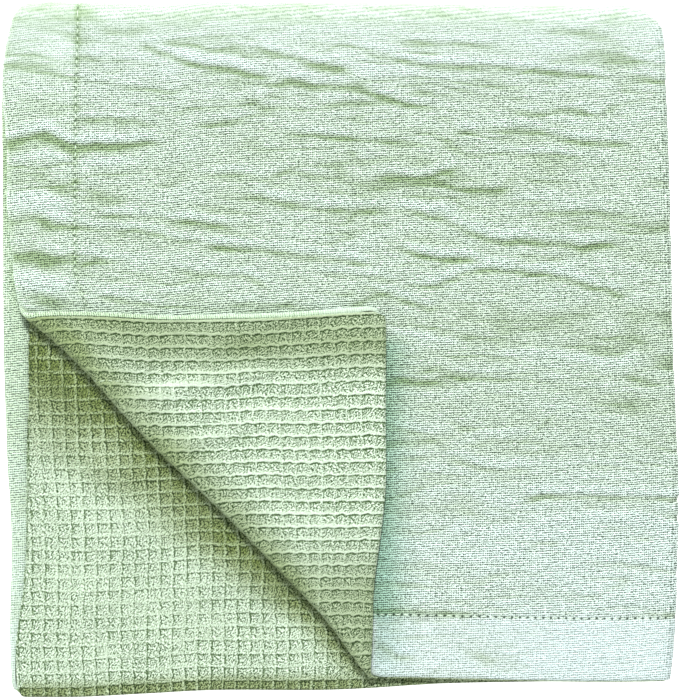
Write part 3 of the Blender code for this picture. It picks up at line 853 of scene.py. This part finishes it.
def waffle_relief(s, t, o):
    """Weave on the waffle's outer face, and the margin that goes under the turned muslin."""
    outer = o < WAFFLE / 2 - HALF_PLY
    fine = waffle_shows_share(s, t)
    uneven = 1 + 0.3 * noise(s / 0.011, t / 0.011, 23)
    roll = hump(turned_share(s, t) - MM, 4 * MM) * (s < 0)
    height = woven(RIDGE, s, t) * uneven * (1 - 0.7 * roll) * MM
    # Painted shade across the weave: highlight on the ridges, shadow in the grooves, less on the roll.
    shade = 0.5 + woven(RIDGE_SHADE, s, t) * uneven * (1 - 0.5 * roll)
    x, y, _ = folded(s, t, np.zeros_like(o))
    turned = turned_over(s, t)

    # The weave strays from straight lines, but not at the rim.
    across, up = weave_wander(s, t)
    calm = fine * eased(-beyond_rim(s, t)[0], 0.0, 0.006) * outer
    s, t = s + across * calm, t + up * calm
    inside = -beyond_rim(s, t)[0]
    strip = strip_width(s, t)

    # Height: the cloth sinks under the turned strip, puffs up on the corner and sags at the hem.
    sunk = (1 - eased(inside, strip - 0.0009, strip + 0.0002)) * (strip > 0.0008)
    puffs = crease_height(x, y, TURNED_CREASES) * turned
    height = height + puffs
    patches = noise(s / 0.021, t / 0.013, 27)
    # Painted light on the puffs: paler where they rise, deeper where they sink. The patches vary the shade
    # at random.
    shade = shade + 0.12 * puffs / MM + np.where(s < 0, 0.04, 0.07) * patches
    height = (height + stitch_pull(s, t)) * fine * (1 - sunk)
    hem = at_hem(s, t)
    sag = 0.9 * MM * (1 - eased(inside, -0.001, 0.007)) * (s > 0) * hem
    offset = -HALF_PLY - height + (MUSLIN + SEAM_GAP) * sunk + sag
    s, t, offset = lap_hem(s, t, offset)

    # Hollow: the painted shadow under the crest and at the second ply's hem, deeper between ridges.
    # A painted highlight along the crest of the turned corner, and a painted shadow line just past the
    # turned strip.
    crest = 0.25 * hump(turned_share(s, t) - 0.8 * MM, 1.2 * MM) * (s < 0) * (t < 0)
    seam_shade = hump(inside - strip - 0.4 * MM, 0.6 * MM) * (s > 0) * (strip > 0.0008)
    by_hem = (1 - eased(inside, 0.0015, 0.0085)) * (s > 0) * (HALF_LENGTH + t < HALF_WIDTH - s)
    hollow = np.maximum(shelter(x, y) * (1 - turned), 0.7 * by_hem)
    hollow = hollow * (1 - 0.3 * (1 - eased(past_crest(x, y), 0.003, 0.0065)))
    hollow = hollow * (1 - 0.45 * eased(shade, 0.54, 0.68))
    # In the painted shadow the grooves are darker still; the turned corner is a little darker and the
    # second ply's cell floors a little paler.
    shade = shade + np.minimum(shade - 0.5, 0.0) * 0.6 * hollow
    shade = shade + 0.06 * (1 - turned) * (1 - eased(np.abs(shade - 0.5), 0.05, 0.2)) - 0.05 * turned
    shade = np.where(outer, np.clip(shade + crest - 0.4 * seam_shade, 0.0, 1.0), 0.5)
    # The turned corner carries the painted shade beside the crest.
    named_values = {"shade": shade, "shelter": hollow, "crest_shade": beside_crest(x, y) * turned}
    return s, t, np.where(outer, offset, o), named_values


def waffle_shows_share(s, t):
    """1 where the waffle face is seen: the turned corner, and the second ply in front of it."""
    turned = eased(turned_share(s, t), -0.012, -0.006) * (s < 0) * (t < 0)
    reach = (HALF_WIDTH - s) + (HALF_LENGTH + t)
    front = (1 - eased(reach, TURNED_LEG + 0.012, TURNED_LEG + 0.03)) * (s > 0) * (t < 0)
    left = eased(s, HALF_WIDTH - 0.03, HALF_WIDTH - 0.02) * (t < 0)
    return np.maximum(np.maximum(turned, front), left * (1 - eased(t, -0.19, -0.16)))


def waffle_shows(s, t):
    """True for the faces of the waffle that are seen close up."""
    return waffle_shows_share(s, t) > 0.0


WAFFLE_INSETS = (0.0003, -0.0017)  # the waffle reaches past the rim along the hems
waffle_bm = flat_slab(
    -HALF_PLY, WAFFLE - HALF_PLY, WAFFLE_INSETS,
    columns=bend_lines(SIDE_RADIUS, 6)
    + spaced(CELLS_TO_A_QUAD * CELL_ACROSS, RIM_WIDTH - 0.001, CELLS_TO_A_QUAD * CELL_ACROSS),
    rows=bend_lines(TOP_RADIUS, 8)
    + spaced(CELLS_TO_A_QUAD * CELL_ALONG, RIM_LENGTH - 0.001, CELLS_TO_A_QUAD * CELL_ALONG),
)
weave_cuts = CELLS_TO_A_QUAD * CELL_CUTS - 1
subdivide_face_quads(waffle_bm, -HALF_PLY, waffle_shows, (weave_cuts, weave_cuts), 0.001)
outer_verts = [vert for vert in waffle_bm.verts if vert.co.z < WAFFLE / 2 - HALF_PLY]
flat_s, flat_t = np.array([vert.co.xy for vert in outer_verts]).T
seen = waffle_shows(flat_s, flat_t)
near_s = np.where(seen, crowded(flat_s, CELL_ACROSS), flat_s)
near_t = np.where(seen, crowded(flat_t, CELL_ALONG), flat_t)
for vert, place in zip(outer_verts, zip(near_s, near_t)):
    vert.co.xy = place
round_corners(waffle_bm, WAFFLE_INSETS)
cut_turn(waffle_bm, -HALF_PLY, 8)
waffle = make_cloth(waffle_bm, "waffle_face", waffle_relief)

# %% [markdown]
# ## The stitches
# Each stitch is a small bead of thread, lying in the groove. They are modelled in flat places too,
# so that the same folds carry them, and both faces of the cloth get a row.

# %% Model the stitches
STITCH_SIZE = (0.0028, 0.0006, 0.0005)


def stitch_row(bm, s, t, heading, level):
    """Add one straight row of stitches at arrays of flat places."""
    for place in zip(s, t, level):
        turn = Matrix.Rotation(math.radians(heading + stitch_random.normal(0, 4)), 4, "Z")
        size = Matrix.Diagonal((*[side * stitch_random.uniform(0.85, 1.1) / 2 for side in STITCH_SIZE], 1))
        stitch = bead.copy()
        stitch.transform(Matrix.Translation(place) @ turn @ size)
        bm.from_mesh(stitch)
        bpy.data.meshes.remove(stitch)


bead_bm = bmesh.new()
bmesh.ops.create_uvsphere(bead_bm, u_segments=6, v_segments=4, radius=1.0)
bead = to_mesh(bead_bm, "bead")
stitch_bm = bmesh.new()
stitch_random = np.random.default_rng(31)
line_s, line_t = STITCH_LINES
up_line = np.arange(-line_t + STITCH_PITCH / 2, line_t, STITCH_PITCH)
across_line = np.arange(-line_s + STITCH_PITCH / 2, line_s, STITCH_PITCH)
for sign in (-1, 1):
    for s, t, heading in (
        (np.full_like(up_line, sign * line_s), up_line, 90.0),
        (across_line, np.full_like(across_line, sign * line_t), 0.0),
    ):
        stitch_row(stitch_bm, s, t, heading, muslin_relief(s, t, np.full_like(s, HALF_PLY))[2])
        stitch_row(stitch_bm, s, t, heading, waffle_relief(s, t, np.full_like(s, -HALF_PLY))[2])


def stitch_relief(s, t, o):
    """Stitches keep their flat places, and those on the waffle face get its painted shadow and shade."""
    x, y, _ = folded(s, t, o)
    turned = turned_over(s, t)
    shaded = np.where(turned > 0.5, 0.5 * beside_crest(x, y), shelter(x, y))
    return s, t, o, {"shelter": shaded * (o < 0)}


stitches = make_cloth(stitch_bm, "topstitching", stitch_relief)

# %% [markdown]
# ## Finishes
# Both fabrics are the same pale green cotton, so they share one recipe: a colour that is deeper in
# the hollows and paler on the raised threads, as painted shade and highlight, threads that are drawn
# in the colour and as a bump from the flat place on the cloth, and a rough surface with a little
# sheen for its down.


# %% A small kit for node materials
class Finish:
    """A rough material with some sheen, and short ways to add linked nodes to it."""

    def __init__(self, name, roughness, sheen):
        self.material = bpy.data.materials.new(name)
        self.material.use_nodes = True
        self.tree = self.material.node_tree
        self.shader = self.tree.nodes["Principled BSDF"]
        self.fill(self.shader, Roughness=roughness, Specular_IOR_Level=0.25)
        self.fill(self.shader, Sheen_Weight=sheen, Sheen_Roughness=0.6)

    def fill(self, node, **inputs):
        """Set or link the inputs of a node, by name or as i and a number."""
        for key, value in inputs.items():
            socket = node.inputs[int(key[1:]) if key[1:].isdigit() else key.replace("_", " ")]
            if isinstance(value, bpy.types.NodeSocket):
                self.tree.links.new(value, socket)
            else:
                socket.default_value = value
        return node

    def node(self, kind, settings=(), **inputs):
        """Add a node."""
        made = self.tree.nodes.new("ShaderNode" + kind)
        for key, value in dict(settings).items():
            setattr(made, key, value)
        return self.fill(made, **inputs)

    def calc(self, operation, *values, kind="Math", **named):
        """Add a sum, and return its result."""
        numbered = {f"i{number}": value for number, value in enumerate(values)}
        return self.node(kind, {"operation": operation}, **numbered, **named).outputs[0]

    def vector(self, operation, *values, **named):
        """Add a sum of vectors or colours, and return its result."""
        return self.calc(operation, *values, kind="VectorMath", **named)

    def spread(self, value, start, end, low, high):
        """Bring a value that goes from start to end to one that goes from low to high."""
        return self.node("MapRange", i0=value, i1=start, i2=end, i3=low, i4=high).outputs[0]

    def attribute(self, name):
        """A named value that the points of the cloth carry."""
        return self.node("Attribute", {"attribute_name": name}).outputs["Fac"]

    def flat_place(self):
        """The flat place on the cloth, in millimetres."""
        return self.vector("SCALE", self.node("UVMap", {"uv_map": "cloth"}).outputs[0], Scale=1000.0)

    def ramp(self, value, stops):
        """A colour ramp through stops of place and colour."""
        made = self.node("ValToRGB", i0=value)
        elements = made.color_ramp.elements
        while len(elements) < len(stops):
            elements.new(0.5)
        for element, (place, colour) in zip(elements, stops):
            element.position = place
            element.color = (*colour, 1.0)
        return made.outputs["Color"]

    def tinted(self, colour, tint, amount):
        """Multiply a colour by a tint, as far as the amount says."""
        deeper = self.vector("MULTIPLY", colour, tint)
        return self.node("Mix", {"data_type": "VECTOR"}, i0=amount, i4=colour, i5=deeper).outputs[1]


MIDDLE = 500.0  # the flat blanket's middle in both ways, as a flat place in millimetres

# %% Muslin
# Ramp from the painted shade in the troughs to the paler crinkles, which a crinkle noise also moves.
MUSLIN_DEEP = (0.33, 0.46, 0.26)
MUSLIN_MIDDLE = (0.64, 0.77, 0.64)
MUSLIN_PALE = (0.76, 0.91, 0.84)
# What the colour is multiplied by: between the threads, and as painted shade in the needle holes; as
# painted shadow beside the turned corner; as painted shade at the rolled edge; and as painted light
# where the threads hardly show.
MUSLIN_GAP = (0.78, 1.0, 0.78)
MUSLIN_SHELTERED = (0.54, 0.74, 0.64)
EDGE_SHELTERED = (0.66, 0.78, 0.46)
MUSLIN_CALM = (0.84, 0.79, 0.94)
GAUZE_PITCH = (1.15, 1.27)  # mm between the lengthwise threads, and between the crosswise ones
GAUZE_STRENGTH = (0.55, 0.85)  # how strongly each of the two shows
GAUZE_LEAN = 0.06  # how far the crosswise threads climb for each step across
# The darkness is painted shade in the needle holes.
HOLE_DARKNESS = (0.6, 0.95)  # of the needle holes along the sides, and along the hems
HOLE_FADES = (0.15, 0.75)  # squares of the distances between which they fade, in mm


def needle_holes(finish, mm):
    """1 in the painted shade of the small needle holes between the stitches, from the flat place in
    millimetres.
    """
    place = finish.node("SeparateXYZ", i0=mm).outputs
    lines = [line / MM for line in STITCH_LINES]
    pitch = STITCH_PITCH / MM
    mirrored = [finish.calc("ABSOLUTE", finish.calc("SUBTRACT", place[axis], MIDDLE)) for axis in (0, 1)]
    holes = 0.0
    for axis, other in ((0, 1), (1, 0)):
        away = finish.calc("POWER", finish.calc("SUBTRACT", mirrored[axis], lines[axis]), 2.0)
        step = finish.calc("SUBTRACT", place[other], MIDDLE - lines[other])
        step = finish.calc("FRACT", finish.calc("DIVIDE", step, pitch))
        step = finish.calc("MULTIPLY", finish.calc("PINGPONG", step, 0.5), pitch)
        reach = finish.calc("MULTIPLY_ADD", step, step, away)
        hole = finish.spread(reach, *HOLE_FADES, HOLE_DARKNESS[axis], 0.0)
        in_line = finish.calc("LESS_THAN", mirrored[other], lines[other] + 1.0)
        holes = finish.calc("MAXIMUM", finish.calc("MULTIPLY", hole, in_line), holes)
    return holes


def finish_muslin():
    """Gauze: fine crosswise threads broken into dashes, and painted shade that deepens the colour in the
    troughs.
    """
    finish = Finish("muslin_gauze", 0.85, 0.08)
    mm = finish.flat_place()
    grain = finish.attribute("grain")
    stretched = finish.node("Mapping", i0=mm, Scale=(0.07, 0.5, 1.0)).outputs[0]
    crinkle = finish.node("TexNoise", i0=stretched, Scale=1.0, Detail=3.0, Roughness=0.55).outputs[0]
    close = finish.node("Mapping", i0=mm, Scale=(0.8, 0.85, 1.0)).outputs[0]
    slub = finish.node("TexNoise", i0=close, Scale=1.0, Detail=2.0, Roughness=0.7).outputs
    strayed = finish.vector("MULTIPLY_ADD", slub["Color"], (2.2, 1.5, 0.0), mm)
    split = finish.node("SeparateXYZ", i0=strayed).outputs
    leaning = finish.calc("MULTIPLY_ADD", split[0], -GAUZE_LEAN, split[1])
    threads = finish.spread(slub[0], 0.35, 0.65, -0.45, 0.45)
    for place, pitch, strength in zip((split[0], leaning), GAUZE_PITCH, GAUZE_STRENGTH):
        wave = finish.calc("SINE", finish.calc("MULTIPLY", place, 2 * math.pi / pitch))
        threads = finish.calc("MULTIPLY_ADD", wave, strength, threads)
    mixed = finish.calc("MULTIPLY_ADD", crinkle, 0.5, finish.attribute("shade"))
    mixed = finish.calc("SUBTRACT", mixed, 0.25)
    colour = finish.ramp(mixed, ((0.1, MUSLIN_DEEP), (0.42, MUSLIN_MIDDLE), (0.75, MUSLIN_PALE)))
    gap = finish.calc("MULTIPLY", finish.spread(threads, 0.05, -0.85, 0.0, 1.85), grain)
    gap = finish.calc("MAXIMUM", gap, needle_holes(finish, mm))
    light = finish.calc("MAXIMUM", finish.calc("SUBTRACT", 1.01, gap), 0.12)
    colour = finish.tinted(finish.vector("SCALE", colour, Scale=light), MUSLIN_GAP, gap)
    colour = finish.tinted(colour, MUSLIN_SHELTERED, finish.attribute("shelter"))
    colour = finish.tinted(colour, EDGE_SHELTERED, finish.attribute("rolled"))
    colour = finish.tinted(colour, MUSLIN_CALM, finish.attribute("calm"))
    height = finish.calc("MULTIPLY", threads, grain)
    coarse = finish.node("Bump", Height=crinkle, Strength=0.6, Distance=0.0012).outputs[0]
    bump = finish.node("Bump", Height=height, Strength=0.6, Distance=0.0004, Normal=coarse)
    finish.fill(finish.shader, Base_Color=colour, Normal=bump.outputs[0])
    return finish.material


muslin.data.materials.append(finish_muslin())
print("muslin gauze, threads every", GAUZE_PITCH, "mm")

# %% Waffle
# Ramp from the painted shadow in the grooves to the painted highlight on the ridges, which the floats'
# noise also moves.
WAFFLE_DEEP = (0.04, 0.09, 0.025)
WAFFLE_DIM = (0.22, 0.33, 0.17)
WAFFLE_MIDDLE = (0.50, 0.64, 0.46)
WAFFLE_PALE = (0.74, 0.87, 0.72)
# What the colour is multiplied by, as painted shadow in the hollow, twice on the waffle and once on
# the thread, and as painted shade on the band beside the crest.
WAFFLE_SHELTERED = (0.45, 0.49, 0.22)
WAFFLE_CREST_SHADE = (0.43, 0.465, 0.27)
FLOAT_SLANT = -48.0  # degrees from the crosswise threads
FLOAT_SIZE = (1.1, 0.66)  # length and width of a float, in mm
FLOAT_ENDS = (-1.2, 0.8)  # between the floats, and on them


def finish_waffle():
    """Waffle: slanting floats in the cells, a painted highlight on the ridges, and painted shadow in the
    grooves beside them.
    """
    finish = Finish("waffle_cotton", 0.9, 0.08)
    shade = finish.attribute("shade")
    hollow = finish.attribute("shelter")
    from_middle = finish.vector("SUBTRACT", finish.flat_place(), (MIDDLE, 0.0, 0.0))
    mirrored = finish.vector("ABSOLUTE", from_middle)
    slant = (0.0, 0.0, math.radians(FLOAT_SLANT))
    size = (*FLOAT_SIZE, 1.0)
    turned = finish.node("Mapping", {"vector_type": "TEXTURE"}, i0=mirrored, Rotation=slant, Scale=size)
    slub = finish.node("TexNoise", i0=turned.outputs[0], Scale=1.0, Detail=2.0, Roughness=0.65)
    floats = finish.spread(slub.outputs[0], 0.42, 0.55, *FLOAT_ENDS)
    from_floor = finish.calc("ABSOLUTE", finish.calc("SUBTRACT", shade, 0.5))
    strength = finish.spread(from_floor, 0.06, 0.3, 0.55, 0.24)
    strength = finish.calc("MULTIPLY", strength, finish.spread(hollow, 0.0, 1.0, 1.0, 1.4))
    mixed = finish.calc("MULTIPLY_ADD", floats, strength, shade)
    stops = ((0.02, WAFFLE_DEEP), (0.28, WAFFLE_DIM), (0.5, WAFFLE_MIDDLE), (0.85, WAFFLE_PALE))
    colour = finish.ramp(mixed, stops)
    # Painted shadow in the hollow, applied twice, deeper between the floats than on them.
    depth = finish.calc("MULTIPLY", hollow, finish.spread(floats, *FLOAT_ENDS, 1.4, 0.85))
    for _ in range(2):
        colour = finish.tinted(colour, WAFFLE_SHELTERED, depth)
    # Painted shade on the roll beside the crest.
    colour = finish.tinted(colour, WAFFLE_CREST_SHADE, finish.attribute("crest_shade"))
    bump = finish.node("Bump", Height=floats, Strength=0.7, Distance=0.0005)
    finish.fill(finish.shader, Base_Color=colour, Normal=bump.outputs[0])
    return finish.material


waffle.data.materials.append(finish_waffle())
print("waffle floats", FLOAT_SIZE, "mm, at", FLOAT_SLANT, "degrees")

# %% Sewing thread
THREAD_COLOUR = (0.66, 0.80, 0.66)
THREAD_DIM = tuple(0.8 * part for part in THREAD_COLOUR)


def finish_thread():
    """Matt cotton thread, a little paler than the cloth, with its twist as a bump."""
    finish = Finish("sewing_thread", 0.7, 0.1)
    place = finish.node("TexCoord").outputs["Object"]
    twist = finish.node("TexNoise", i0=place, Scale=2500.0, Detail=1.0).outputs[0]
    colour = finish.ramp(twist, ((0.3, THREAD_DIM), (0.6, THREAD_COLOUR)))
    # Painted shadow and shade, as on the waffle face under the stitch.
    colour = finish.tinted(colour, WAFFLE_SHELTERED, finish.attribute("shelter"))
    bump = finish.node("Bump", Height=twist, Strength=0.4, Distance=0.0001)
    finish.fill(finish.shader, Base_Color=colour, Normal=bump.outputs[0])
    return finish.material


stitches.data.materials.append(finish_thread())
print("thread colour", THREAD_COLOUR)

# %% [markdown]
# ## What each piece stands for
# The panels take the place of the plain solids, and all pieces ride on the one body.

for piece in (muslin, waffle, stitches):
    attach(piece, "root")
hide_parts("muslin_panel")
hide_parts("waffle_panel")

# %% [markdown]
# ## Studio
# The blanket lies on a white table, seen straight from above through a long lens, so that its sides
# stay parallel. A large soft lamp beyond its top fold rakes across the cloth. A weak lamp near the
# bottom left corner and an even pale surround fill the shadows.

# %% Floor, lights and camera
FLOOR_SIZE = 6.0
floor_bm = bmesh.new()
bmesh.ops.create_grid(floor_bm, x_segments=1, y_segments=1, size=FLOOR_SIZE / 2)
floor = add_object("floor", to_mesh(floor_bm, "floor"))
table = Finish("white_table", 0.9, 0.0)
table.fill(table.shader, Base_Color=(0.97, 0.97, 0.97, 1.0))
table.fill(table.shader, Emission_Color=(1.0, 1.0, 1.0, 1.0), Emission_Strength=0.8)
floor.data.materials.append(table.material)


def area_lamp(name, place, target, size, power):
    """A square soft lamp, aimed at a target."""
    lamp = bpy.data.lights.new(name, "AREA")
    lamp.shape = "RECTANGLE"
    lamp.size, lamp.size_y = size
    lamp.energy = power
    holder = add_object(name, lamp)
    holder.location = place
    holder.rotation_euler = (Vector(target) - Vector(place)).to_track_quat("-Z", "Y").to_euler()


world = bpy.data.worlds.new("surround")
world.use_nodes = True
surround = world.node_tree.nodes["Background"].inputs
surround["Color"].default_value = (0.94, 1.0, 0.9, 1.0)
surround["Strength"].default_value = 0.4
bpy.context.scene.world = world
area_lamp("fill", (-1.9, -2.1, 1.5), (0.0, 0.0, 0.0), (1.5, 1.0), 45.0)
area_lamp("key", (-0.3, 2.6, 2.9), (0.0, 0.0, 0.0), (1.2, 0.9), 242.0)

IMAGE = (679, 699)
FRAME_WIDTH = 0.37345  # metres of blanket across the picture
CAMERA_HEIGHT = 2.5
OUTLINE_HEIGHT = 0.01  # height at which the blanket's outline lies
camera_data = bpy.data.cameras.new("camera")
camera_data.sensor_fit = "HORIZONTAL"
camera_data.sensor_width = 36.0
camera_data.lens = camera_data.sensor_width * (CAMERA_HEIGHT - OUTLINE_HEIGHT) / FRAME_WIDTH
camera = add_object("camera", camera_data)
camera.location = (0.0, 0.0, CAMERA_HEIGHT)
bpy.context.scene.camera = camera
bpy.context.scene.view_settings.view_transform = "Standard"
print(f"lens {camera_data.lens:.0f} mm for a picture of {IMAGE[0]} x {IMAGE[1]}")
